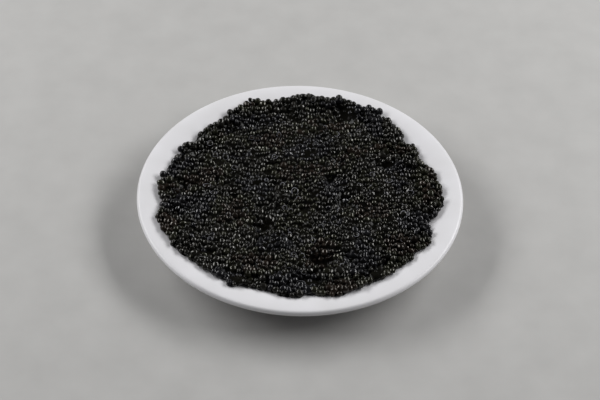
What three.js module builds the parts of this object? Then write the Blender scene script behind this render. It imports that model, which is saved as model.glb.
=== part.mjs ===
// A small round porcelain dish, heaped nearly to its rim with black caviar.
// Lengths are in millimetres and bearings in degrees from +X. The dish stands on Z = 0, with +Z up.
import * as THREE from 'three';

// The porcelain dish: a flat well, a wall that sweeps up to a nearly flat ring, and a rounded lip.
const dishRadius = 75;
const dishHeight = 16;
const lipThickness = 3;
const floorThickness = 4;
const wellRadius = 36;
const wellHeight = 6;
const footInnerRadius = 40;
const footOuterRadius = 45;
const footTaper = 1;

// How finely the dish is faceted.
const dishSegments = 72;
const undersideSteps = 4;
const lipSteps = 6;
const insideSteps = 7;

// The caviar: one heap of small eggs, spread flat with a spoon, with a knobbly raised fringe. Under the
// pits it still lies as thick as the thinnest value over the dish.
const heapRadius = 65.5;
const heapLevel = 17.4;
const shoulderWidth = 3;
const fringeRise = 1.6;
const fringeInset = 6;
const fringeWidth = 4.5;
const backRise = 0.8;
const heapClearance = 0.35;
const thinnestHeap = 2.2;

// The outline pushed out or bitten in at a bearing; spread is the half-width in degrees.
const outlineMarks = [
  { bearing: 23, spread: 8, reach: -3.9 },
  { bearing: 31, spread: 3, reach: 2 },
  { bearing: 35, spread: 4.5, reach: -4.2 },
  { bearing: 58, spread: 5.5, reach: 4.8 },
  { bearing: 73, spread: 6, reach: 3 },
  { bearing: 79, spread: 2.5, reach: 1.5 },
  { bearing: 89, spread: 5, reach: 4.6 },
  { bearing: 97, spread: 3, reach: 1.2 },
  { bearing: 103, spread: 3, reach: -1.6 },
  { bearing: 111.5, spread: 3.2, reach: 4.2 },
  { bearing: 130, spread: 6, reach: -3.4 },
  { bearing: 146, spread: 5, reach: -4.8 },
  { bearing: 151, spread: 3, reach: 1.2 },
  { bearing: 159, spread: 7, reach: -1.9 },
  { bearing: 175, spread: 4, reach: 1.1 },
  { bearing: 200, spread: 6, reach: 3.8 },
  { bearing: 215, spread: 8, reach: 2.6 },
  { bearing: 244, spread: 3, reach: 1.8 },
  { bearing: 254, spread: 5, reach: -2.4 },
  { bearing: 265, spread: 5, reach: 1 },
  { bearing: 275, spread: 4, reach: -2.4 },
  { bearing: 286, spread: 5, reach: 2.7 },
  { bearing: 332, spread: 5.5, reach: 3.2 },
  { bearing: 343, spread: 4.5, reach: -4.4 },
  { bearing: 353, spread: 7, reach: 2.2 },
];

// Steep pits, trenches and low mounds in the top: a place, two half-lengths, a turn and a rise or a drop.
const surfaceMarks = [
  { x: 14, y: 48, along: 8, across: 2.8, turn: 20, rise: -3 },
  { x: 21.5, y: 53.2, along: 7, across: 5, turn: 25, rise: -6.2 },
  { x: -4, y: 51, along: 7, across: 3, turn: -45, rise: -3 },
  { x: 40, y: 19, along: 5, across: 3, turn: 14, rise: -3.8 },
  { x: -34, y: 41, along: 5, across: 3.4, turn: 35, rise: -4.4 },
  { x: -50, y: 23, along: 4, across: 3.2, turn: 50, rise: -4.4 },
  { x: -54, y: 2, along: 4, across: 3.6, turn: 0, rise: -4.8 },
  { x: 14, y: 9, along: 4, across: 3.4, turn: 0, rise: -4 },
  { x: 20, y: -7, along: 3.4, across: 3.2, turn: 0, rise: -3.6 },
  { x: -16, y: -23, along: 6, across: 3, turn: 0, rise: -4 },
  { x: 10, y: -42, along: 7, across: 3.6, turn: -10, rise: -5.5 },
  { x: -43, y: -41, along: 7, across: 3, turn: 25, rise: -4.2 },
  { x: -25, y: -57, along: 8, across: 3.4, turn: -22, rise: -5 },
  { x: 5, y: -56, along: 7, across: 3.4, turn: 4, rise: -4.2 },
  { x: 35, y: -51, along: 5, across: 3.2, turn: 20, rise: -4 },
  { x: 6, y: 59, along: 12, across: 4, turn: 0, rise: 0.9 },
  { x: -50, y: -30, along: 12, across: 6, turn: 120, rise: 0.7 },
  { x: 48, y: -30, along: 14, across: 6, turn: 55, rise: 0.7 },
];

// Lumps two or three eggs wide, which the spoon left, with crevices between them. They are the sum
// of waves that each run another way, and are deep in the fringe and shallow in the middle.
const lumpWaves = 12;
const lumpWidth = 14;
const waveTurn = 137.5;
const shortestWave = 0.75;
const waveRange = 0.6;
const waveStep = 0.618;
const creviceWidth = 0.4;
const creviceDepth = 2;
const middleCrevice = 0.1;
const edgeCrevice = 1.8;
const lumpyWidth = 12;

// The eggs of the heap: rings of eggs round a middle one, each a low pyramid on a shared web. Crowns and
// hollows are lifts off the heap's surface. The twist turns each ring half an egg on from the one inside
// it, so that the eggs nest.
const eggRings = 22;
const eggCrown = -0.05;
const eggHollow = -0.95;
const crownShift = 0.22;
const webShift = 0.16;
const heightVariation = 0.2;
const ringTwist = 22.5;
const baseRings = [
  { share: 0.9, points: 90 },
  { share: 0.8, points: 90 },
  { share: 0.7, points: 45 },
  { share: 0.61, points: 45 },
  { share: 0.52, points: 45 },
];

// Seed of every random draw.
const firstSeed = 41;

const eighthTurn = 45;
const lipRadius = lipThickness / 2;
const lipCentreRadius = dishRadius - lipRadius;
const lipCentreHeight = dishHeight - lipRadius;

function dishInsideHeight(radius) {
  const climb = THREE.MathUtils.smoothstep(radius, wellRadius, lipCentreRadius);
  return THREE.MathUtils.lerp(wellHeight, dishHeight, climb);
}

function dishUndersideHeight(radius) {
  const thickness = THREE.MathUtils.lerp(floorThickness, lipThickness, radius / lipCentreRadius);
  return dishInsideHeight(radius) - thickness;
}

function dishProfile() {
  const recessHeight = wellHeight - floorThickness;
  const profile = [
    new THREE.Vector2(0, recessHeight),
    new THREE.Vector2(footInnerRadius - footTaper, recessHeight),
    new THREE.Vector2(footInnerRadius, 0),
    new THREE.Vector2(footOuterRadius, 0),
  ];
  for (let step = 0; step < undersideSteps; step += 1) {
    const share = step / undersideSteps;
    const radius = THREE.MathUtils.lerp(footOuterRadius + footTaper, lipCentreRadius, share);
    profile.push(new THREE.Vector2(radius, dishUndersideHeight(radius)));
  }
  for (let step = 0; step <= lipSteps; step += 1) {
    const turn = Math.PI * (step / lipSteps - 0.5);
    const radius = lipCentreRadius + lipRadius * Math.cos(turn);
    const height = lipCentreHeight + lipRadius * Math.sin(turn);
    profile.push(new THREE.Vector2(radius, height));
  }
  for (let step = 1; step <= insideSteps; step += 1) {
    const radius = THREE.MathUtils.lerp(lipCentreRadius, wellRadius, step / insideSteps);
    profile.push(new THREE.Vector2(radius, dishInsideHeight(radius)));
  }
  profile.push(new THREE.Vector2(0, wellHeight));
  return profile;
}

function makeDish() {
  const geometry = new THREE.LatheGeometry(dishProfile(), dishSegments);
  geometry.rotateX(Math.PI / 2);
  const material = new THREE.MeshStandardMaterial({ color: 0xe4e3e1, roughness: 0.18, metalness: 0 });
  const mesh = new THREE.Mesh(geometry, material);
  mesh.name = 'dish';
  return mesh;
}

function bump(distance, spread) {
  return Math.exp(-((distance / spread) ** 2));
}

// 1 in the crevices between the lumps, and 0 on the lumps.
function crevice(x, y) {
  let total = 0;
  for (let wave = 0; wave < lumpWaves; wave += 1) {
    const turn = THREE.MathUtils.degToRad(waveTurn * wave);
    const length = lumpWidth * (shortestWave + waveRange * (waveStep * wave % 1));
    const travel = x * Math.cos(turn) + y * Math.sin(turn);
    total += Math.cos(travel * 2 * Math.PI / length + wave * wave);
  }
  return bump(total * Math.sqrt(2 / lumpWaves), creviceWidth);
}

function heapOutline(bearing) {
  let radius = heapRadius;
  for (const mark of outlineMarks) {
    const away = THREE.MathUtils.euclideanModulo(bearing - mark.bearing + 180, 360) - 180;
    radius += mark.reach * bump(away, mark.spread);
  }
  const turn = THREE.MathUtils.degToRad(bearing);
  return radius - edgeCrevice * crevice(radius * Math.cos(turn), radius * Math.sin(turn));
}

// How far the marks raise or lower the top.
function markRise(x, y) {
  let rise = 0;
  for (const mark of surfaceMarks) {
    const turn = THREE.MathUtils.degToRad(mark.turn);
    const along = (x - mark.x) * Math.cos(turn) + (y - mark.y) * Math.sin(turn);
    const across = (y - mark.y) * Math.cos(turn) - (x - mark.x) * Math.sin(turn);
    rise += mark.rise * bump((along / mark.along) ** 2 + (across / mark.across) ** 2, 1);
  }
  return rise;
}

function heapHeight(x, y, outline) {
  const radius = Math.hypot(x, y);
  const fringeStart = outline - fringeInset - lumpyWidth;
  const fringe = THREE.MathUtils.smoothstep(radius, fringeStart, outline - fringeInset);
  let height = heapLevel + backRise * (y / heapRadius);
  height += fringeRise * bump(outline - fringeInset - radius, fringeWidth);
  height -= creviceDepth * THREE.MathUtils.lerp(middleCrevice, 1, fringe) * crevice(x, y);
  height += markRise(x, y);
  return Math.max(height, dishInsideHeight(radius) + thinnestHeap);
}

// A point that lies the given share of the way from the middle, over the top and down the side,
// lifted off the smooth surface along its normal.
function heapPoint(bearing, share, lift) {
  const outline = heapOutline(bearing);
  const topReach = outline - shoulderWidth;
  const sideLength = shoulderWidth * Math.PI / 2;
  const travel = share * (topReach + sideLength);
  const turn = THREE.MathUtils.degToRad(bearing);
  if (travel <= topReach) {
    const x = travel * Math.cos(turn);
    const y = travel * Math.sin(turn);
    return new THREE.Vector3(x, y, heapHeight(x, y, outline) + lift);
  }
  const lean = (travel - topReach) / shoulderWidth;
  const radius = topReach + (shoulderWidth + lift) * Math.sin(lean);
  const shoulderX = topReach * Math.cos(turn);
  const shoulderY = topReach * Math.sin(turn);
  const top = heapHeight(shoulderX, shoulderY, outline);
  const base = dishInsideHeight(radius) + heapClearance;
  const height = THREE.MathUtils.lerp(base, top + lift, Math.cos(lean));
  return new THREE.Vector3(radius * Math.cos(turn), radius * Math.sin(turn), height);
}

// Places on a square grid become rings round the middle: the larger index is the ring.
function ringOf(column, row) {
  return Math.max(Math.abs(column), Math.abs(row));
}

function bearingOf(column, row) {
  const ring = ringOf(column, row);
  if (ring === 0) return 0;
  const twist = ringTwist * Math.log(ring + 1);
  if (Math.abs(column) >= Math.abs(row)) {
    return twist + eighthTurn * (row / column) + (column < 0 ? 180 : 0);
  }
  return twist + 90 - eighthTurn * (column / row) + (row < 0 ? 180 : 0);
}

// One draw between -1 and 1.
function draw() {
  return THREE.MathUtils.seededRandom() * 2 - 1;
}

// A grid place on the heap, moved at random by up to a share of the space between eggs.
function scatteredPoint(column, row, shift, lift) {
  const ring = ringOf(column, row);
  const share = Math.abs(ring + shift * draw()) / (eggRings + 0.5);
  const sideways = shift * draw() * eighthTurn / (ring + 1);
  return heapPoint(bearingOf(column, row) + sideways, share, lift + heightVariation * draw());
}

function webPoint(column, row) {
  const isFoot = ringOf(column, row) > eggRings;
  const bearing = bearingOf(column, row);
  return isFoot ? heapPoint(bearing, 1, eggHollow) : scatteredPoint(column, row, webShift, eggHollow);
}

function crownPoint(column, row) {
  return scatteredPoint(column, row, crownShift, eggCrown);
}

function basePoint(bearing, share) {
  const radius = heapOutline(bearing) * share;
  const turn = THREE.MathUtils.degToRad(bearing);
  const height = dishInsideHeight(radius) + heapClearance;
  return new THREE.Vector3(radius * Math.cos(turn), radius * Math.sin(turn), height);
}

// Joins an outer loop of points to an inner one with as many points, or half as many.
function joinLoops(outer, inner, faces) {
  const ratio = outer.length / inner.length;
  inner.forEach((start, place) => {
    const next = inner[(place + 1) % inner.length];
    const last = outer[(place + 1) * ratio % outer.length];
    for (let step = 0; step < ratio; step += 1) {
      const first = outer[place * ratio + step];
      const second = outer[(place * ratio + step + 1) % outer.length];
      faces.push([first, start, second]);
    }
    faces.push([start, next, last]);
  });
}

function makeHeapTop(points, faces) {
  const side = 2 * eggRings + 2;
  const web = [];
  for (let place = 0; place < side * side; place += 1) {
    const column = Math.floor(place / side) - eggRings - 0.5;
    const row = place % side - eggRings - 0.5;
    web.push({ index: points.push(webPoint(column, row)) - 1, column, row });
  }
  for (let column = -eggRings; column <= eggRings; column += 1) {
    for (let row = -eggRings; row <= eggRings; row += 1) {
      const crown = points.push(crownPoint(column, row)) - 1;
      const near = (column + eggRings) * side + row + eggRings;
      const corners = [near, near + side, near + side + 1, near + 1];
      corners.forEach((corner, place) => faces.push([corner, corners[(place + 1) % 4], crown]));
    }
  }
  const foot = web.filter((knot) => ringOf(knot.column, knot.row) > eggRings);
  foot.forEach((knot) => {
    knot.bearing = THREE.MathUtils.euclideanModulo(bearingOf(knot.column, knot.row), 360);
  });
  return foot.sort((one, other) => one.bearing - other.bearing);
}

function makeHeapBase(foot, points, faces) {
  let outer = foot.map((knot) => knot.index);
  for (const ring of baseRings) {
    const inner = [];
    for (let place = 0; place < ring.points; place += 1) {
      const bearing = foot[0].bearing + place * 360 / ring.points;
      inner.push(points.push(basePoint(bearing, ring.share)) - 1);
    }
    joinLoops(outer, inner, faces);
    outer = inner;
  }
  const centre = points.push(basePoint(0, 0)) - 1;
  outer.forEach((start, place) => faces.push([start, centre, outer[(place + 1) % outer.length]]));
}

function makeCaviar() {
  THREE.MathUtils.seededRandom(firstSeed);
  const points = [];
  const faces = [];
  const foot = makeHeapTop(points, faces);
  makeHeapBase(foot, points, faces);
  const geometry = new THREE.BufferGeometry().setFromPoints(points);
  geometry.setIndex(faces.flat());
  geometry.computeVertexNormals();
  const material = new THREE.MeshStandardMaterial({ color: 0x1f1e1b, roughness: 0.22, metalness: 0 });
  const mesh = new THREE.Mesh(geometry, material);
  mesh.name = 'caviar';
  return mesh;
}

const dishOfCaviar = new THREE.Group();
dishOfCaviar.add(makeDish(), makeCaviar());

export default dishOfCaviar;
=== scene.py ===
# %% [markdown]
# # A dish of black caviar
# A small white porcelain dish, heaped nearly to its rim with black roe. The roe was spread flat with a
# spoon, so its middle is smooth and wet, and its edge is a knobbly fringe where single eggs stand out.
# The lesson has three parts: a dish turned ring by ring, a heap of several thousand eggs that settle
# against each other as real ones do, and the dark brine that fills the gaps between them.

# %% Load the frame
import math

import bpy
import numpy as np
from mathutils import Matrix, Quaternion, Vector
from mathutils.kdtree import KDTree


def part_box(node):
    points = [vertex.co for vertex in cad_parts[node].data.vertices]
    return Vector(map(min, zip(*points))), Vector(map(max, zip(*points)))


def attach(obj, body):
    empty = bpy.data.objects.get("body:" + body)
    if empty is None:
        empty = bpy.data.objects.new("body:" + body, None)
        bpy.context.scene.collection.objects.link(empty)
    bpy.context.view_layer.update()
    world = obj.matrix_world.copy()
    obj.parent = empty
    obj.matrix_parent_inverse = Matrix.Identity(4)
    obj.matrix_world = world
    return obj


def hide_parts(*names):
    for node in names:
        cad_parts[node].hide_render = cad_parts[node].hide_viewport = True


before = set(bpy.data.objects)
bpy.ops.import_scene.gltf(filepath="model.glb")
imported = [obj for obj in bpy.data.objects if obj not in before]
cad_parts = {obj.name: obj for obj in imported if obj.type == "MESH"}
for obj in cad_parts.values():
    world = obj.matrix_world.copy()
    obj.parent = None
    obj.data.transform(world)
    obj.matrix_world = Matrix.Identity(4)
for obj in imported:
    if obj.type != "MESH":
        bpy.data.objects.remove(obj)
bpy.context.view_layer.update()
print("CAD nodes:", sorted(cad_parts))

# %% [markdown]
# ## Sizes
# Everything is in metres, as the frame is, so small lengths are written as millimetres times MM.
# The dish's width and height come from the frame. The inside of the dish and the top of the heap are
# formulas, because the dish, the eggs and the brine all have to agree on where they are.

# %% Dish sizes
MM = 0.001
dish_low, dish_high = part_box("dish")
RIM_RADIUS = (dish_high.x - dish_low.x) / 2
RIM_HEIGHT = dish_high.z
LIP_RADIUS = 1.5 * MM
LIP_CENTRE = RIM_RADIUS - LIP_RADIUS
WELL_RADIUS = 36 * MM
WELL_HEIGHT = 6 * MM
FLOOR_THICKNESS = 4 * MM
FOOT_INNER = 40 * MM
FOOT_OUTER = 45 * MM


def smooth_climb(value, low, high):
    """Rises from 0 at low to 1 at high, level at both ends."""
    share = np.clip((value - low) / (high - low), 0, 1)
    return share * share * (3 - 2 * share)


def inside_height(radius):
    """Height of the dish's upper face at a distance from its middle."""
    return WELL_HEIGHT + (RIM_HEIGHT - WELL_HEIGHT) * smooth_climb(radius, WELL_RADIUS, LIP_CENTRE)


def underside_height(radius):
    """Height of the dish's lower face outside the foot."""
    share = radius / LIP_CENTRE
    return inside_height(radius) - FLOOR_THICKNESS - (2 * LIP_RADIUS - FLOOR_THICKNESS) * share


print(f"dish {2 * RIM_RADIUS / MM:.0f} mm wide and {RIM_HEIGHT / MM:.0f} mm high")

# %% [markdown]
# ## The form of the heap
# Seen from above, the heap is a round patch with bites and lobes, so its outline is a radius with marks
# at bearings. Its top is a level with a raised fringe. The spoon left lumps two or three eggs wide, which
# are a sum of waves, and steep pits, trenches and low mounds, which are one mark each and so are easy to
# move by hand. Some eggs stay in the dish even under a pit, so the heap is nowhere thinner than a thinnest
# layer.

# %% Heap sizes
EGG_RADIUS = 1.5 * MM
HEAP_RADIUS = 65.5 * MM
HEAP_LEVEL = 17.4 * MM
SHOULDER = 3 * MM
FRINGE_RISE = 1.6 * MM
FRINGE_INSET = 6 * MM
FRINGE_WIDTH = 4.5 * MM
BACK_RISE = 0.8 * MM

# bearing and half-width in degrees, and reach in millimetres
OUTLINE_MARKS = (
    (23, 8, -3.9), (31, 3, 2), (35, 4.5, -4.2), (58, 5.5, 4.8), (73, 6, 3), (79, 2.5, 1.5), (89, 5, 4.6),
    (97, 3, 1.2), (103, 3, -1.6), (111.5, 3.2, 4.2), (130, 6, -3.4), (146, 5, -4.8), (151, 3, 1.2),
    (159, 7, -1.9), (175, 4, 1.1), (200, 6, 3.8), (215, 8, 2.6), (244, 3, 1.8), (254, 5, -2.4),
    (265, 5, 1), (275, 4, -2.4), (286, 5, 2.7), (332, 5.5, 3.2), (343, 4.5, -4.4), (353, 7, 2.2),
)

# x, y, half-length, half-width, turn in degrees, and rise, with all lengths in millimetres
SURFACE_MARKS = (
    (14, 48, 8, 2.8, 20, -3), (21.5, 53.2, 7, 5, 25, -6.2), (-4, 51, 7, 3, -45, -3),
    (40, 19, 5, 3, 14, -3.8), (-34, 41, 5, 3.4, 35, -4.4), (-50, 23, 4, 3.2, 50, -4.4),
    (-54, 2, 4, 3.6, 0, -4.8), (14, 9, 4, 3.4, 0, -4), (20, -7, 3.4, 3.2, 0, -3.6),
    (-16, -23, 6, 3, 0, -4), (10, -42, 7, 3.6, -10, -5.5), (-43, -41, 7, 3, 25, -4.2),
    (-25, -57, 8, 3.4, -22, -5), (5, -56, 7, 3.4, 4, -4.2), (35, -51, 5, 3.2, 20, -4),
    (6, 59, 12, 4, 0, 0.9), (-50, -30, 12, 6, 120, 0.7), (48, -30, 14, 6, 55, 0.7),
)
THINNEST = 2.2 * MM

# lumps as wide as two or three eggs, with crevices between them
LUMP_WAVES = 12
LUMP_WIDTH = 14 * MM
WAVE_TURN = 137.5
SHORTEST_WAVE = 0.75
WAVE_RANGE = 0.6
WAVE_STEP = 0.618
CREVICE_WIDTH = 0.4
CREVICE_DEPTH = 2 * MM
MIDDLE_CREVICE = 0.1
EDGE_CREVICE = 1.8 * MM
LUMPY_WIDTH = 12 * MM


def bump(distance, spread):
    """1 at no distance, and falling away to nothing past the spread."""
    return np.exp(-((distance / spread) ** 2))


def crevice(x, y):
    """1 in the crevices between the lumps that the spoon left, and 0 on the lumps."""
    total = np.zeros(np.shape(x))
    for wave in range(LUMP_WAVES):
        turn = math.radians(WAVE_TURN * wave)
        length = LUMP_WIDTH * (SHORTEST_WAVE + WAVE_RANGE * (WAVE_STEP * wave % 1))
        travel = x * math.cos(turn) + y * math.sin(turn)
        total = total + np.cos(travel * 2 * math.pi / length + wave * wave)
    return bump(total * math.sqrt(2 / LUMP_WAVES), CREVICE_WIDTH)


def heap_outline(bearing):
    """Radius of the heap at a bearing in degrees."""
    radius = np.full(np.shape(bearing), HEAP_RADIUS)
    for at, spread, reach in OUTLINE_MARKS:
        away = (bearing - at + 180) % 360 - 180
        radius = radius + reach * MM * bump(away, spread)
    turn = np.radians(bearing)
    return radius - EDGE_CREVICE * crevice(radius * np.cos(turn), radius * np.sin(turn))


def fringe_share(radius, outline):
    """0 in the smooth middle and 1 in the knobbly fringe."""
    return smooth_climb(radius, outline - FRINGE_INSET - LUMPY_WIDTH, outline - FRINGE_INSET)


def spoon_marks(x, y):
    """How far the marks raise or lower the heap's top."""
    height = np.zeros(np.shape(x))
    for at_x, at_y, length, width, turn, rise in SURFACE_MARKS:
        cosine, sine = math.cos(math.radians(turn)), math.sin(math.radians(turn))
        along = (x - at_x * MM) * cosine + (y - at_y * MM) * sine
        across = (y - at_y * MM) * cosine - (x - at_x * MM) * sine
        away = (along / (length * MM)) ** 2 + (across / (width * MM)) ** 2
        height = height + rise * MM * bump(away, 1)
    return height


def heap_top(x, y, outline):
    """Height of the heap's top, before its eggs make it knobbly."""
    radius = np.hypot(x, y)
    height = HEAP_LEVEL + BACK_RISE * y / HEAP_RADIUS
    height = height + FRINGE_RISE * bump(outline - FRINGE_INSET - radius, FRINGE_WIDTH)
    depth = CREVICE_DEPTH * (MIDDLE_CREVICE + (1 - MIDDLE_CREVICE) * fringe_share(radius, outline))
    height = height - depth * crevice(x, y) + spoon_marks(x, y)
    return np.maximum(height, inside_height(radius) + THINNEST)


print(f"heap {heap_outline(np.arange(360.0)).min() / MM:.1f} to "
      f"{heap_outline(np.arange(360.0)).max() / MM:.1f} mm in radius")

# %% [markdown]
# ## Helpers for modelling
# An operator acts on whatever is selected, and the frame's nodes come in selected, so each piece starts by
# deselecting everything. A finished piece keeps its place in its mesh, with its object at the origin.

# %% Modelling helpers
def start_piece():
    """Leaves nothing selected, ready for a new primitive."""
    if bpy.context.object and bpy.context.object.mode != "OBJECT":
        bpy.ops.object.mode_set(mode="OBJECT")
    bpy.ops.object.select_all(action="DESELECT")


def finish_piece(piece, name, replaced):
    """Names a piece, puts its place into its mesh and ties it to the frame."""
    piece.name = name
    piece.data.name = name
    start_piece()
    piece.select_set(True)
    bpy.context.view_layer.objects.active = piece
    bpy.ops.object.transform_apply(location=True, rotation=True, scale=True)
    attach(piece, "root")
    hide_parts(replaced)
    print(f"{name}: {len(piece.data.polygons)} faces")
    return piece


# %% [markdown]
# ## The dish
# A porcelain dish like this is pressed on a turning wheel, so every section through its middle is the
# same. It could be a spun profile, but building it the potter's way is easier to follow: a circle is
# extruded and widened, ring after ring, out along the foot and the underside, round the lip and back in to
# the well. A subdivision then rounds the rings into one smooth skin, as the glaze does.

# %% The rings of the dish
DISH_SEGMENTS = 128
FOOT_TAPER = 1 * MM
FOOT_ROUNDING = 0.4 * MM
UNDERSIDE_STEPS = 9
LIP_STEPS = 8
INSIDE_STEPS = 16
WELL_STEPS = 3


def dish_rings():
    """Radius and height of each ring, from the recess under the dish to its well."""
    recess = WELL_HEIGHT - FLOOR_THICKNESS
    rings = [(FOOT_INNER - FOOT_TAPER - FOOT_ROUNDING, recess)]
    rings += [(FOOT_INNER - FOOT_TAPER, recess - FOOT_ROUNDING)]
    rings += [(FOOT_INNER, FOOT_ROUNDING), (FOOT_INNER + FOOT_ROUNDING, 0)]
    rings += [(FOOT_OUTER - FOOT_ROUNDING, 0), (FOOT_OUTER, FOOT_ROUNDING)]
    start = FOOT_OUTER + FOOT_TAPER
    for step in range(UNDERSIDE_STEPS):
        radius = start + (LIP_CENTRE - start) * step / UNDERSIDE_STEPS
        rings.append((radius, underside_height(radius)))
    for step in range(LIP_STEPS + 1):
        turn = math.pi * (step / LIP_STEPS - 0.5)
        height = RIM_HEIGHT - LIP_RADIUS + LIP_RADIUS * math.sin(turn)
        rings.append((LIP_CENTRE + LIP_RADIUS * math.cos(turn), height))
    for step in range(1, INSIDE_STEPS + 1):
        radius = LIP_CENTRE + (WELL_RADIUS - LIP_CENTRE) * step / INSIDE_STEPS
        rings.append((radius, inside_height(radius)))
    for step in range(1, WELL_STEPS):
        rings.append((WELL_RADIUS * (1 - step / WELL_STEPS), WELL_HEIGHT))
    return rings


print(f"{len(dish_rings())} rings")

# %% Turn the dish
def extrude_ring(from_ring, to_ring):
    """Extrudes the selected ring and moves the new one to its radius and height."""
    wider = to_ring[0] / from_ring[0]
    bpy.ops.mesh.extrude_region_move()
    bpy.ops.transform.resize(value=(wider, wider, 1), center_override=(0, 0, 0))
    bpy.ops.transform.translate(value=(0, 0, to_ring[1] - from_ring[1]))


def close_with_fan():
    """Draws the selected ring in to a point on the axis."""
    bpy.ops.mesh.extrude_region_move()
    bpy.ops.mesh.merge(type="CENTER")


def model_dish():
    """The dish as one closed skin, extruded ring by ring."""
    rings = dish_rings()
    radius, height = rings[0]
    start_piece()
    bpy.ops.mesh.primitive_circle_add(vertices=DISH_SEGMENTS, radius=radius, location=(0, 0, height))
    dish = bpy.context.object
    bpy.ops.object.transform_apply(location=True)
    bpy.ops.object.mode_set(mode="EDIT")
    bpy.ops.mesh.select_all(action="SELECT")
    for from_ring, to_ring in zip(rings, rings[1:]):
        extrude_ring(from_ring, to_ring)
    close_with_fan()
    bpy.ops.object.mode_set(mode="OBJECT")
    for vertex in dish.data.vertices:
        vertex.select = vertex.index < DISH_SEGMENTS
    bpy.ops.object.mode_set(mode="EDIT")
    close_with_fan()
    bpy.ops.mesh.select_all(action="SELECT")
    bpy.ops.mesh.normals_make_consistent(inside=False)
    bpy.ops.object.mode_set(mode="OBJECT")
    smooth = dish.modifiers.new("smooth skin", "SUBSURF")
    smooth.levels = 1
    smooth.render_levels = 1
    bpy.ops.object.modifier_apply(modifier=smooth.name)
    bpy.ops.object.shade_smooth()
    return finish_piece(dish, "porcelain_dish", "dish")


porcelain_dish = model_dish()

# %% [markdown]
# ## Where the eggs lie
# Eggs in a heap lie in no pattern: they roll into the first gap that takes them. A grid would show rows,
# and plain random places would overlap, so the eggs are let settle. They start at random in a layer under
# the heap's top, grow to full size, push each other apart, and are pressed up against the heap's form, as
# if it were the back of the spoon. Each egg stays sunk by a depth of its own, mostly small, which leaves
# dark gaps here and there. The middle of the heap is pressed flatter than its fringe, so its eggs sink
# only a third as deep. The draws are seeded, so each run gives the same heap.

# %% Limits for the eggs
EGG_COUNT = 3300
EGG_SPREAD = 0.16
LAYER_DEPTH = 3.7 * MM
SINK_DEPTH = 2 * MM
MIDDLE_SINK = 0.35
EDGE_SINK = 0.9
DISH_CLEARANCE = 0.1 * MM
SIZE_RANGE = (-2.2, 1.6)
WAVES = 14
WAVE_LENGTHS = (0.75, 1.35)
random = np.random.default_rng(41)


def make_field(width):
    """A smooth random field over the heap, about 1 high and with waves of a width."""
    turns = random.uniform(0, 2 * math.pi, WAVES)
    starts = random.uniform(0, 2 * math.pi, WAVES)
    lengths = width * random.uniform(*WAVE_LENGTHS, WAVES)

    def field(x, y):
        total = np.zeros(np.shape(x))
        for turn, start, length in zip(turns, starts, lengths):
            travel = x * math.cos(turn) + y * math.sin(turn)
            total = total + np.cos(travel * 2 * math.pi / length + start)
        return total * math.sqrt(2 / WAVES)

    return field


egg_radii = EGG_RADIUS * (1 + EGG_SPREAD * np.clip(random.standard_normal(EGG_COUNT), *SIZE_RANGE))
egg_sink = SINK_DEPTH * random.uniform(0, 1, EGG_COUNT) ** 2


def keep_in_heap(places, radii):
    """Moves egg centres back inside the heap's form and off the dish."""
    x, y = places[:, 0], places[:, 1]
    radius = np.hypot(x, y)
    bearing = np.degrees(np.arctan2(y, x))
    outline = heap_outline(bearing) - EDGE_SINK * egg_sink
    shrink = np.minimum(1, (outline - radii) / radius)
    x, y, radius = x * shrink, y * shrink, radius * shrink
    sink = MIDDLE_SINK + (1 - MIDDLE_SINK) * fringe_share(radius, outline)
    top = heap_top(x, y, outline) - egg_sink * sink
    low = inside_height(radius) + radii + DISH_CLEARANCE
    over = np.clip((radius - (outline - SHOULDER)) / (SHOULDER - radii), 0, 1)
    ceiling = low + (top - radii - low) * np.sqrt(1 - over * over)
    floor = np.maximum(low, ceiling - LAYER_DEPTH)
    return np.stack([x, y, np.clip(places[:, 2], floor, np.maximum(floor, ceiling))], axis=1)


# %% Settle the eggs
SETTLING_STEPS = 140
GROWING_STEPS = 70
START_SIZE = 0.6
PAIR_REACH = 2.5 * EGG_RADIUS
STEPS_PER_SEARCH = 7
PUSH = 0.38
LIFT = 0.02 * MM
CLOSEST = 0.01 * MM


def near_pairs(places):
    """Index pairs of eggs close enough to touch soon."""
    tree = KDTree(len(places))
    for index, place in enumerate(places):
        tree.insert(place, index)
    tree.balance()
    pairs = []
    for index, place in enumerate(places):
        pairs += [(index, other) for _, other, _ in tree.find_range(place, PAIR_REACH) if other > index]
    return np.array(pairs).T


def settle_eggs():
    """Lets the eggs grow, push each other apart and come to rest."""
    bearing = random.uniform(0, 2 * math.pi, EGG_COUNT)
    radius = HEAP_RADIUS * np.sqrt(random.uniform(0, 1, EGG_COUNT))
    height = HEAP_LEVEL - LAYER_DEPTH * random.uniform(0, 1, EGG_COUNT)
    places = np.stack([radius * np.cos(bearing), radius * np.sin(bearing), height], axis=1)
    for step in range(SETTLING_STEPS):
        if step % STEPS_PER_SEARCH == 0:
            first, second = near_pairs(places)
        size = START_SIZE + (1 - START_SIZE) * min(1, step / GROWING_STEPS)
        between = places[first] - places[second]
        apart = np.maximum(np.linalg.norm(between, axis=1), CLOSEST)
        overlap = np.maximum(0, (egg_radii[first] + egg_radii[second]) * size - apart)
        push = between * (PUSH * overlap / apart)[:, None]
        np.add.at(places, first, push)
        np.add.at(places, second, -push)
        places[:, 2] += LIFT
        places = keep_in_heap(places, egg_radii)
    return places, overlap


egg_places, last_overlap = settle_eggs()
print(f"{len(egg_places)} eggs, deepest overlap {last_overlap.max() / MM:.2f} mm,"
      f" mean {last_overlap.mean() / MM:.3f} mm")

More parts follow.
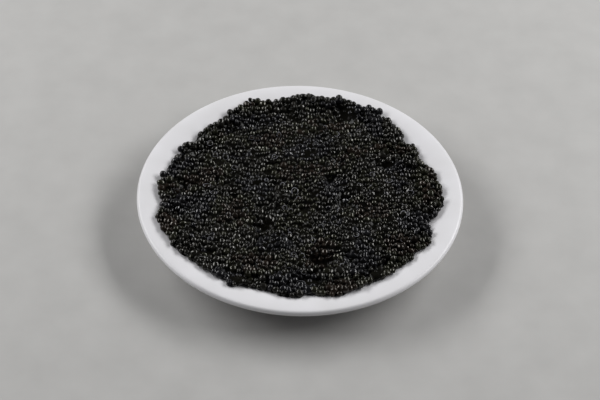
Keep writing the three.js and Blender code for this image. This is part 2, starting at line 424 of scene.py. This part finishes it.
# %% [markdown]
# ## One egg, and its copies
# An egg of roe is a firm little ball, a trace flatter than it is wide and never quite even, and some are
# dented. Two round and two dented ones are modelled from icospheres of 80 faces, which are enough at six
# pixels across. Thousands of objects would be slow and hard to handle, so the copies of each colour are
# joined into one mesh: the eggs' points are multiplied out in an array, each copy with its own turn, size
# and stretch.

# %% Model one egg
EGG_FLATNESS = 0.94
EGG_UNEVENNESS = 0.04 * MM
DENT_START = 0.95
DENTS = (0, 0, 0.12 * MM, 0.35 * MM)


def model_egg(dent):
    """Points and faces of one egg of radius 1, with a dent in its top."""
    start_piece()
    bpy.ops.mesh.primitive_ico_sphere_add(subdivisions=2, radius=EGG_RADIUS)
    egg = bpy.context.object
    for vertex in egg.data.vertices:
        vertex.select = vertex.co.z > DENT_START * EGG_RADIUS
    bpy.ops.object.mode_set(mode="EDIT")
    bpy.ops.transform.translate(value=(0, 0, -dent))
    bpy.ops.mesh.select_all(action="SELECT")
    bpy.ops.transform.resize(value=(1, 1, EGG_FLATNESS), center_override=(0, 0, 0))
    bpy.ops.transform.vertex_random(offset=EGG_UNEVENNESS, uniform=0.5, seed=3)
    bpy.ops.object.mode_set(mode="OBJECT")
    points = np.array([vertex.co for vertex in egg.data.vertices]) / EGG_RADIUS
    faces = np.array([list(face.vertices) for face in egg.data.polygons])
    bpy.data.objects.remove(egg)
    return points, faces


egg_forms, egg_faces = zip(*[model_egg(dent) for dent in DENTS])
egg_forms, egg_faces = np.array(egg_forms), egg_faces[0]
print(f"one egg: {egg_forms.shape[1]} points and {len(egg_faces)} faces")

# %% Copy the eggs
STRETCH = 0.17


def random_turns(count):
    """Rotation matrices that turn each copy evenly at random."""
    q = random.standard_normal((count, 4))
    w, x, y, z = (q / np.linalg.norm(q, axis=1)[:, None]).T
    rows = [
        [1 - 2 * (y * y + z * z), 2 * (x * y - z * w), 2 * (x * z + y * w)],
        [2 * (x * y + z * w), 1 - 2 * (x * x + z * z), 2 * (y * z - x * w)],
        [2 * (x * z - y * w), 2 * (y * z + x * w), 1 - 2 * (x * x + y * y)],
    ]
    return np.array(rows).transpose(2, 0, 1)


def join_copies(chosen, forms, form_faces, turns, name):
    """One mesh with a copy of a form on each chosen egg, and a tone for each copy."""
    count = len(chosen)
    stretch = 1 + STRETCH * random.standard_normal((count, 1, 3))
    forms = forms[random.integers(len(forms), size=count)]
    copies = forms * stretch @ turns * egg_radii[chosen][:, None, None] + egg_places[chosen][:, None]
    faces = form_faces[None] + np.arange(count)[:, None, None] * forms.shape[1]
    mesh = bpy.data.meshes.new(name)
    mesh.from_pydata(copies.reshape(-1, 3).tolist(), [], faces.reshape(-1, 3).tolist())
    for share in ("egg_tone", "egg_dryness"):
        values = np.repeat(random.uniform(0, 1, count), forms.shape[1]).astype(np.float32)
        mesh.attributes.new(share, "FLOAT", "POINT").data.foreach_set("value", values)
    mesh.shade_smooth()
    eggs = bpy.data.objects.new(name, mesh)
    bpy.context.scene.collection.objects.link(eggs)
    return finish_piece(eggs, name, "caviar")


KINDS = (("slate_eggs", 0.2), ("black_eggs", 0.4), ("olive_eggs", 0.25), ("brown_eggs", 0.15))
PATCH_WIDTH = 26 * MM
PATCH_MIXING = 0.3
patches = make_field(PATCH_WIDTH)(egg_places[:, 0], egg_places[:, 1])
kind_order = np.argsort(patches + PATCH_MIXING * random.standard_normal(len(egg_places)))
egg_pieces = {}
kind_start = 0
for kind, kind_share in KINDS:
    kind_end = kind_start + round(kind_share * len(kind_order))
    chosen = kind_order[kind_start:kind_end]
    egg_pieces[kind] = join_copies(chosen, egg_forms, egg_faces, random_turns(len(chosen)), kind)
    kind_start = kind_end

# %% [markdown]
# ## Rings of froth, painted as glints
# A few eggs carry a small pale ring of froth round their tops. Its pale colour is a painted glint, standing
# in for ring-shaped glints of light round those eggs. Each ring is a thin torus, drawn uneven, that is half
# sunk in its egg and leans to the front by a random amount.

# %% Rings of froth, painted as glints
FROTH_GLINT_COUNT = 85
FROTH_GLINT_COVER = 0.35 * MM
FROTH_GLINT_REACH = 0.74
FROTH_GLINT_THICKNESS = 0.055
FROTH_GLINT_HEIGHT = 0.68
FROTH_GLINT_LEAN = 0.5
FROTH_GLINT_TILT = 0.3
FROTH_GLINT_UNEVENNESS = 0.02


def model_froth_glint():
    """Points and faces of one ring, for an egg of radius 1."""
    start_piece()
    bpy.ops.mesh.primitive_torus_add(major_segments=14, minor_segments=5, major_radius=FROTH_GLINT_REACH,
                                     minor_radius=FROTH_GLINT_THICKNESS, location=(0, 0, FROTH_GLINT_HEIGHT))
    ring = bpy.context.object
    bpy.ops.object.transform_apply(location=True)
    bpy.ops.object.mode_set(mode="EDIT")
    bpy.ops.mesh.select_all(action="SELECT")
    bpy.ops.transform.vertex_random(offset=FROTH_GLINT_UNEVENNESS, uniform=0.5, seed=5)
    bpy.ops.mesh.quads_convert_to_tris()
    bpy.ops.object.mode_set(mode="OBJECT")
    points = np.array([vertex.co for vertex in ring.data.vertices])
    faces = np.array([list(face.vertices) for face in ring.data.polygons])
    bpy.data.objects.remove(ring)
    return points[None], faces


def choose_froth_glint_eggs():
    """Eggs of the top layer, spread at random over the heap."""
    x, y = egg_places[:, 0], egg_places[:, 1]
    outline = heap_outline(np.degrees(np.arctan2(y, x)))
    cover = heap_top(x, y, outline) - egg_places[:, 2] - egg_radii
    on_top = np.flatnonzero((cover < FROTH_GLINT_COVER) & (np.hypot(x, y) < outline - SHOULDER))
    return random.choice(on_top, FROTH_GLINT_COUNT, replace=False)


froth_glint_eggs = choose_froth_glint_eggs()
leans = FROTH_GLINT_LEAN + FROTH_GLINT_TILT * random.standard_normal(FROTH_GLINT_COUNT)
tilts = [Quaternion((1, FROTH_GLINT_TILT * random.standard_normal(), 0), lean) for lean in leans]
froth_glint_turns = np.array([np.array(tilt.to_matrix()).T for tilt in tilts])
# pale rings whose colour is a painted glint round a few eggs
froth_rings = join_copies(froth_glint_eggs, *model_froth_glint(), froth_glint_turns, "froth_rings")

# %% [markdown]
# ## The brine
# Caviar is packed in a little brine, which clings between the eggs and climbs a short way up each one.
# That film joins the eggs, turns the gaps dark and gives the fine curved glints between the dots of light.
# It is one closed body: a fine grid is bent over the heap's form and down its side, and is then drawn up
# into a small collar round every egg. In the smooth middle it stands high and in the fringe it runs low.
# In the pits it is raised into a dark pool over the eggs, a painted shade for the shadow that falls in them.

# %% Bend a grid over the heap
BRINE_RINGS = 142
BRINE_DEPTH = EGG_RADIUS
BASE_SHARES = (0.97, 0.9, 0.8, 0.7, 0.6, 0.5)
BASE_GAP = 0.12 * MM


def ring_places(column, row):
    """Turns places on a square grid into a bearing in degrees and a share of the way out."""
    ring = np.maximum(np.abs(column), np.abs(row))
    wide = np.abs(column) >= np.abs(row)
    longer = np.where(wide, column, row)
    eighth = 45 * np.where(wide, row, -column) / np.where(ring > 0, longer, 1)
    return eighth + np.where(wide, 0, 90) + np.where(longer < 0, 180, 0), ring


def heap_surface(bearing, share, depth):
    """Points below the heap's form by a depth, and the way out of the heap there."""
    outline = heap_outline(bearing) - depth
    reach = outline - (SHOULDER - depth)
    travel = share * (reach + (SHOULDER - depth) * math.pi / 2)
    turn = np.radians(bearing)
    lean = np.clip((travel - reach) / (SHOULDER - depth), 0, math.pi / 2)
    top_radius = np.minimum(travel, reach)
    top = heap_top(top_radius * np.cos(turn), top_radius * np.sin(turn), outline + depth) - depth
    base = inside_height(outline) + BASE_GAP
    radius = top_radius + (SHOULDER - depth) * np.sin(lean)
    height = base + (top - base) * np.cos(lean)
    points = np.stack([radius * np.cos(turn), radius * np.sin(turn), height], axis=-1)
    out = np.stack([np.sin(lean) * np.cos(turn), np.sin(lean) * np.sin(turn), np.cos(lean)], axis=-1)
    return points, out


def model_brine():
    """A square grid, with a bearing and a share of the way out for each of its points."""
    start_piece()
    bpy.ops.mesh.primitive_grid_add(x_subdivisions=2 * BRINE_RINGS, y_subdivisions=2 * BRINE_RINGS, size=2)
    brine = bpy.context.object
    flat = np.zeros(len(brine.data.vertices) * 3)
    brine.data.vertices.foreach_get("co", flat)
    grid = np.round(flat.reshape(-1, 3)[:, :2] * BRINE_RINGS)
    bearing, ring = ring_places(grid[:, 0], grid[:, 1])
    return brine, bearing, ring / BRINE_RINGS


brine, brine_bearing, brine_share = model_brine()
brine_points, brine_out = heap_surface(brine_bearing, brine_share, BRINE_DEPTH)
print(f"brine grid of {len(brine_points)} points")

# %% Draw the brine up round the eggs
NEAR_EGGS = 6
LEVEL_SPREAD = 2 * MM
COLLAR_START = 1.05 * MM
COLLAR_LENGTH = 0.32 * MM
COLLAR_HEIGHT = 0.5 * MM
COLLAR_TOP = 1.3
BURIED_DEPTH = 2.2 * MM
BARE_DEPTH = 0.6 * MM
FOOT_SHARE = 0.985
LEAST_WEIGHT = 1e-6
MIDDLE_LEVEL = 0.2 * MM
FRINGE_LEVEL = -1.3 * MM
# the brine is raised into a dark pool over the eggs in the pits, as painted shade
SHADE_POOL_START = 1 * MM
SHADE_POOL_FULL = 3.2 * MM
SHADE_POOL_LEVEL = 1.2 * MM
LEVEL_WAVE = 0.25 * MM
LEVEL_WIDTH = 11 * MM
brine_waves = make_field(LEVEL_WIDTH)


def nearest_eggs(points):
    """Indices of the eggs nearest to each point."""
    tree = KDTree(len(egg_places))
    for index, place in enumerate(egg_places):
        tree.insert(place, index)
    tree.balance()
    return np.array([[index for _, index, _ in tree.find_n(point, NEAR_EGGS)] for point in points])


def brine_rise(points, out, bearing):
    """How far the brine stands out of its starting surface at each point."""
    away = egg_places[nearest_eggs(points)] - points[:, None]
    height = (away * out[:, None]).sum(axis=2)
    distance = np.sqrt(np.maximum((away ** 2).sum(axis=2) - height ** 2, 0))
    weight = bump(distance, LEVEL_SPREAD) * smooth_climb(height, -BURIED_DEPTH, -BARE_DEPTH) + LEAST_WEIGHT
    level = (height * weight).sum(axis=1) / weight.sum(axis=1)
    fringe = fringe_share(np.hypot(points[:, 0], points[:, 1]), heap_outline(bearing))
    offset = MIDDLE_LEVEL + (FRINGE_LEVEL - MIDDLE_LEVEL) * fringe
    # in the pits the brine is raised into a dark pool, a painted shade
    shade_pool = smooth_climb(-spoon_marks(points[:, 0], points[:, 1]), SHADE_POOL_START, SHADE_POOL_FULL)
    level = level + offset + (SHADE_POOL_LEVEL - offset) * shade_pool
    level = level + LEVEL_WAVE * brine_waves(points[:, 0], points[:, 1])
    climb = np.clip((height - level[:, None]) / EGG_RADIUS + 1, 0, COLLAR_TOP)
    collar = climb * np.exp(-np.maximum(distance - COLLAR_START, 0) / COLLAR_LENGTH)
    return level + COLLAR_HEIGHT * collar.max(axis=1)


at_foot = brine_share > FOOT_SHARE
rise = np.where(at_foot, 0, brine_rise(brine_points, brine_out, brine_bearing))
brine_points += brine_out * rise[:, None]
brine.data.vertices.foreach_set("co", brine_points.ravel())
brine.data.update()
print(f"brine top at {brine_points[:, 2].max() / MM:.1f} mm")

# %% Close the brine underneath
def close_brine():
    """Carries the brine's edge in under the heap, just clear of the dish, and closes it in the middle."""
    bpy.ops.object.mode_set(mode="EDIT")
    bpy.ops.mesh.select_all(action="SELECT")
    bpy.ops.mesh.region_to_loop()
    for share in BASE_SHARES:
        bpy.ops.mesh.extrude_region_move()
        bpy.ops.object.mode_set(mode="OBJECT")
        for vertex in brine.data.vertices:
            if vertex.select:
                bearing = math.degrees(math.atan2(vertex.co.y, vertex.co.x))
                radius = float(heap_outline(bearing)) * share - EGG_RADIUS
                scale = radius / math.hypot(vertex.co.x, vertex.co.y)
                vertex.co = (vertex.co.x * scale, vertex.co.y * scale, inside_height(radius) + BASE_GAP)
        bpy.ops.object.mode_set(mode="EDIT")
    close_with_fan()
    bpy.ops.mesh.select_all(action="SELECT")
    bpy.ops.mesh.normals_make_consistent(inside=False)
    bpy.ops.object.mode_set(mode="OBJECT")
    bpy.ops.object.shade_smooth()
    return finish_piece(brine, "brine", "caviar")


brine = close_brine()

# %% [markdown]
# ## Materials
# One function turns an sRGB colour into the linear one that a shader wants, and one adds a node with its
# settings and links. Each material is then a short recipe, named for what the real thing is made of.

# %% Material helpers
def linear(code):
    """A colour such as #e4e3e1 as linear red, green, blue and alpha."""
    shares = [int(code[place:place + 2], 16) / 255 for place in (1, 3, 5)]
    dark = [share / 12.92 for share in shares]
    bright = [((share + 0.055) / 1.055) ** 2.4 for share in shares]
    return [low if share <= 0.04045 else high for share, low, high in zip(shares, dark, bright)] + [1]


def add_node(material, kind, settings=None, links=None):
    """Adds a shader node. Settings are attributes or input values, and links feed its inputs."""
    node = material.node_tree.nodes.new(kind)
    for name, value in (settings or {}).items():
        if isinstance(name, str) and hasattr(node, name):
            setattr(node, name, value)
        else:
            node.inputs[name].default_value = value
    for name, socket in (links or {}).items():
        material.node_tree.links.new(socket, node.inputs[name])
    return node


def new_material(name):
    """An empty node material and its output node."""
    material = bpy.data.materials.new(name)
    material.use_nodes = True
    material.node_tree.nodes.clear()
    return material, add_node(material, "ShaderNodeOutputMaterial")


def set_ramp(node, stops):
    """Gives a colour ramp its stops, each a place and a colour."""
    ramp = node.color_ramp
    while len(ramp.elements) < len(stops):
        ramp.elements.new(1)
    for element, (place, colour) in zip(ramp.elements, stops):
        element.position = place
        element.color = colour


# %% [markdown]
# ### Glazed porcelain
# Hard porcelain is white with a clear glass glaze fired on at 1,400 degrees. The glaze gives a soft, weak
# sheen, and it lies in very low waves some 15 mm long. Its white drifts a little along those waves.

# %% Glazed porcelain
# to the metre, so one wave every 15 mm and one smear every 7 mm
GLAZE_WAVES = 65
GLAZE_SMEARS = 140
GLAZE_WAVE_HEIGHT = 0.2 * MM


def make_porcelain():
    material, output = new_material("fired_porcelain_glaze")
    place = add_node(material, "ShaderNodeTexCoord").outputs["Object"]
    waves = add_node(material, "ShaderNodeTexNoise", {"Scale": GLAZE_WAVES, "Detail": 1}, {
        "Vector": place})
    tone = add_node(material, "ShaderNodeValToRGB", links={"Fac": waves.outputs["Fac"]})
    set_ramp(tone, [(0.3, linear("#e3e2e4")), (0.7, linear("#e9e8eb"))])
    bump_map = add_node(material, "ShaderNodeBump", {"Strength": 0.12, "Distance": GLAZE_WAVE_HEIGHT}, {
        "Height": waves.outputs["Fac"]})
    smears = add_node(material, "ShaderNodeTexNoise", {"Scale": GLAZE_SMEARS, "Detail": 3}, {
        "Vector": place})
    gloss = add_node(material, "ShaderNodeMapRange", {"To Min": 0.28, "To Max": 0.4}, {
        "Value": smears.outputs["Fac"]})
    shader = add_node(material, "ShaderNodeBsdfPrincipled", {"IOR": 1.5}, {
        "Base Color": tone.outputs["Color"], "Roughness": gloss.outputs["Result"],
        "Normal": bump_map.outputs["Normal"]})
    material.node_tree.links.new(shader.outputs["BSDF"], output.inputs["Surface"])
    return material


porcelain_dish.data.materials.append(make_porcelain())

# %% [markdown]
# ### Roe
# The eggs are nearly black, with a wet skin like a thin film of water over gel. Their colour isn't even:
# some are olive, brown or slate, in patches one or two centimetres across. The skin's gloss is what the eye
# sees, so all colours share one recipe and differ in their two tones and in the tint of their glints. Each
# egg is as wet as its own value says, so that some glint and others stay dull, and a fine unevenness of the
# wet film breaks up the glints.

# %% Roe
# to the metre, so one patch every 12 mm and one droplet every 2 mm
TINT_PATCHES = 85
FILM_DROPLETS = 520
FILM_THICKNESS = 0.5 * MM
# darker tone, lighter tone and glint
ROE_TONES = {
    "black_eggs": ("#10100e", "#201f1c", "#fffdf8"),
    "olive_eggs": ("#12120e", "#23231b", "#f8f6e8"),
    "brown_eggs": ("#14110f", "#26201b", "#f8f0e6"),
    "slate_eggs": ("#111113", "#1f1f21", "#f5f4f6"),
}


def make_roe(name, tones):
    material, output = new_material(name)
    place = add_node(material, "ShaderNodeTexCoord").outputs["Object"]
    patches = add_node(material, "ShaderNodeTexNoise", {"Scale": TINT_PATCHES, "Detail": 2}, {
        "Vector": place})
    own = add_node(material, "ShaderNodeAttribute", {"attribute_name": "egg_tone"})
    both = add_node(material, "ShaderNodeMath", {"operation": "MULTIPLY_ADD", 1: 0.5}, {
        0: own.outputs["Fac"], 2: patches.outputs["Fac"]})
    tone = add_node(material, "ShaderNodeValToRGB", links={"Fac": both.outputs["Value"]})
    set_ramp(tone, [(0.4, linear(tones[0])), (1.0, linear(tones[1]))])
    dryness = add_node(material, "ShaderNodeAttribute", {"attribute_name": "egg_dryness"})
    gloss = add_node(material, "ShaderNodeMapRange", {"To Min": 0.04, "To Max": 0.17}, {
        "Value": dryness.outputs["Fac"]})
    film = add_node(material, "ShaderNodeMapRange", {"To Min": 0.63, "To Max": 0.12}, {
        "Value": dryness.outputs["Fac"]})
    droplets = add_node(material, "ShaderNodeTexNoise", {"Scale": FILM_DROPLETS, "Detail": 1}, {
        "Vector": place})
    wet_film = add_node(material, "ShaderNodeBump", {"Strength": 1, "Distance": FILM_THICKNESS}, {
        "Height": droplets.outputs["Fac"]})
    skin = {"IOR": 1.45, "Specular Tint": linear(tones[2])}
    shader = add_node(material, "ShaderNodeBsdfPrincipled", skin, {
        "Base Color": tone.outputs["Color"], "Roughness": gloss.outputs["Result"],
        "Specular IOR Level": film.outputs["Result"], "Normal": wet_film.outputs["Normal"]})
    material.node_tree.links.new(shader.outputs["BSDF"], output.inputs["Surface"])
    return material


for kind, tones in ROE_TONES.items():
    egg_pieces[kind].data.materials.append(make_roe("wet_" + kind, tones))

# %% [markdown]
# ### Brine
# The brine is stained dark by the roe. It mirrors less than the eggs do, so the gaps it fills look black,
# and so do its pools in the pits, which are painted shade.

# %% Brine
def make_brine_and_shade():
    material, output = new_material("dark_brine_and_painted_shade")
    place = add_node(material, "ShaderNodeTexCoord").outputs["Object"]
    patches = add_node(material, "ShaderNodeTexNoise", {"Scale": TINT_PATCHES, "Detail": 2}, {
        "Vector": place})
    tone = add_node(material, "ShaderNodeValToRGB", links={"Fac": patches.outputs["Fac"]})
    # dark brine colour, which in the pools in the pits is painted shade
    set_ramp(tone, [(0.35, linear("#060605")), (0.65, linear("#100f0b"))])
    sheen = {"IOR": 1.36, "Roughness": 0.2, "Specular IOR Level": 0.16}
    shader = add_node(material, "ShaderNodeBsdfPrincipled", sheen, {"Base Color": tone.outputs["Color"]})
    material.node_tree.links.new(shader.outputs["BSDF"], output.inputs["Surface"])
    return material


brine.data.materials.append(make_brine_and_shade())

# %% [markdown]
# ### Froth, painted as glints
# The froth is a pale, dull grey with a blue cast, and that paleness is a painted glint round each egg. Some
# rings are dense and pale, and others are so thin that the dark egg shows through. The pattern is as coarse
# as a clump of froth.

# %% Froth, painted as glints
# to the metre, so one clump every 1.1 mm
BUBBLE_GLINT_CLUMPS = 900


def make_froth_glint():
    material, output = new_material("froth_painted_ring_glint")
    place = add_node(material, "ShaderNodeTexCoord").outputs["Object"]
    glint_clumps = add_node(material, "ShaderNodeTexNoise", {"Scale": BUBBLE_GLINT_CLUMPS, "Detail": 1}, {
        "Vector": place})
    own = add_node(material, "ShaderNodeAttribute", {"attribute_name": "egg_tone"})
    both = add_node(material, "ShaderNodeMath", {"operation": "MULTIPLY_ADD", 1: 0.5}, {
        0: own.outputs["Fac"], 2: glint_clumps.outputs["Fac"]})
    tone = add_node(material, "ShaderNodeValToRGB", links={"Fac": both.outputs["Value"]})
    # the pale ring colour is a painted glint
    set_ramp(tone, [(0.5, linear("#1c1c1e")), (1.0, linear("#a8a8b0"))])
    shader = add_node(material, "ShaderNodeBsdfPrincipled", {"IOR": 1.36, "Roughness": 0.35}, {
        "Base Color": tone.outputs["Color"]})
    material.node_tree.links.new(shader.outputs["BSDF"], output.inputs["Surface"])
    return material


froth_rings.data.materials.append(make_froth_glint())

# %% [markdown]
# ## Floor, light and camera
# The floor is plain and pale. Two wide softboxes stand to the right and left, a little behind the dish and
# about 36 degrees up, so each egg shows a pair of small dots near its top and its front stays dark. The
# camera looks down at 44 degrees through a long lens, and leans a little.

# %% Floor
FLOOR_SIZE = 6
# to the metre, so one speck every 17 mm
FLOOR_GRAIN = 60


def make_floor_material():
    material, output = new_material("pale_painted_floor")
    place = add_node(material, "ShaderNodeTexCoord").outputs["Object"]
    grain = add_node(material, "ShaderNodeTexNoise", {"Scale": FLOOR_GRAIN, "Detail": 4}, {
        "Vector": place})
    tone = add_node(material, "ShaderNodeValToRGB", links={"Fac": grain.outputs["Fac"]})
    set_ramp(tone, [(0.3, linear("#b4b3b1")), (0.7, linear("#bab9b7"))])
    shader = add_node(material, "ShaderNodeBsdfPrincipled", {"Roughness": 0.7}, {
        "Base Color": tone.outputs["Color"]})
    material.node_tree.links.new(shader.outputs["BSDF"], output.inputs["Surface"])
    return material


start_piece()
bpy.ops.mesh.primitive_plane_add(size=FLOOR_SIZE)
floor = bpy.context.object
floor.name = "floor"
floor.data.materials.append(make_floor_material())

# %% Light
LIGHT_DISTANCE = 1
# name, bearing and elevation in degrees, width and length in metres, and power in watts
SOFTBOXES = (
    ("right_softbox", 21, 37, 1.1, 0.3, 9.4), ("left_softbox", 159, 35, 1.1, 0.3, 8.2),
)
SKY = 0.05


def add_softbox(name, bearing, elevation, width, length, power):
    turn, climb = math.radians(bearing), math.radians(elevation)
    way = Vector((math.cos(climb) * math.cos(turn), math.cos(climb) * math.sin(turn), math.sin(climb)))
    light = bpy.data.lights.new(name, "AREA")
    light.shape = "RECTANGLE"
    light.size = width
    light.size_y = length
    light.energy = power
    lamp = bpy.data.objects.new(name, light)
    lamp.location = way * LIGHT_DISTANCE
    lamp.rotation_mode = "QUATERNION"
    lamp.rotation_quaternion = (-way).to_track_quat("-Z", "Y")
    bpy.context.scene.collection.objects.link(lamp)


def add_sky():
    world = bpy.data.worlds.new("studio")
    world.use_nodes = True
    world.node_tree.nodes["Background"].inputs["Color"].default_value = linear("#eef0f4")
    world.node_tree.nodes["Background"].inputs["Strength"].default_value = SKY
    bpy.context.scene.world = world


for softbox in SOFTBOXES:
    add_softbox(*softbox)
add_sky()
bpy.context.scene.view_settings.view_transform = "Standard"

# %% Camera
CAMERA_ELEVATION = math.radians(44.2)
CAMERA_DISTANCE = 766 * MM
CAMERA_ROLL = math.radians(1.3)
AIM_BELOW_RIM = 4.2 * MM
LENS = 100
SENSOR_WIDTH = 36


def add_camera():
    camera = bpy.data.objects.new("camera", bpy.data.cameras.new("camera"))
    camera.data.lens = LENS
    camera.data.sensor_width = SENSOR_WIDTH
    rim_centre = Vector((0, 0, RIM_HEIGHT))
    back = Vector((0, -math.cos(CAMERA_ELEVATION), math.sin(CAMERA_ELEVATION)))
    image_up = Vector((0, math.sin(CAMERA_ELEVATION), math.cos(CAMERA_ELEVATION)))
    camera.location = rim_centre + back * CAMERA_DISTANCE
    aim = rim_centre - image_up * AIM_BELOW_RIM
    look = (aim - camera.location).to_track_quat("-Z", "Y")
    camera.rotation_mode = "QUATERNION"
    camera.rotation_quaternion = look @ Quaternion((0, 0, 1), CAMERA_ROLL)
    bpy.context.scene.collection.objects.link(camera)
    bpy.context.scene.camera = camera


add_camera()

# %% [markdown]
# ## Finish
# The scene is brought up to date at the end. The dressed model has to stay as large as the CAD model.

# %% Finish
bpy.context.view_layer.update()
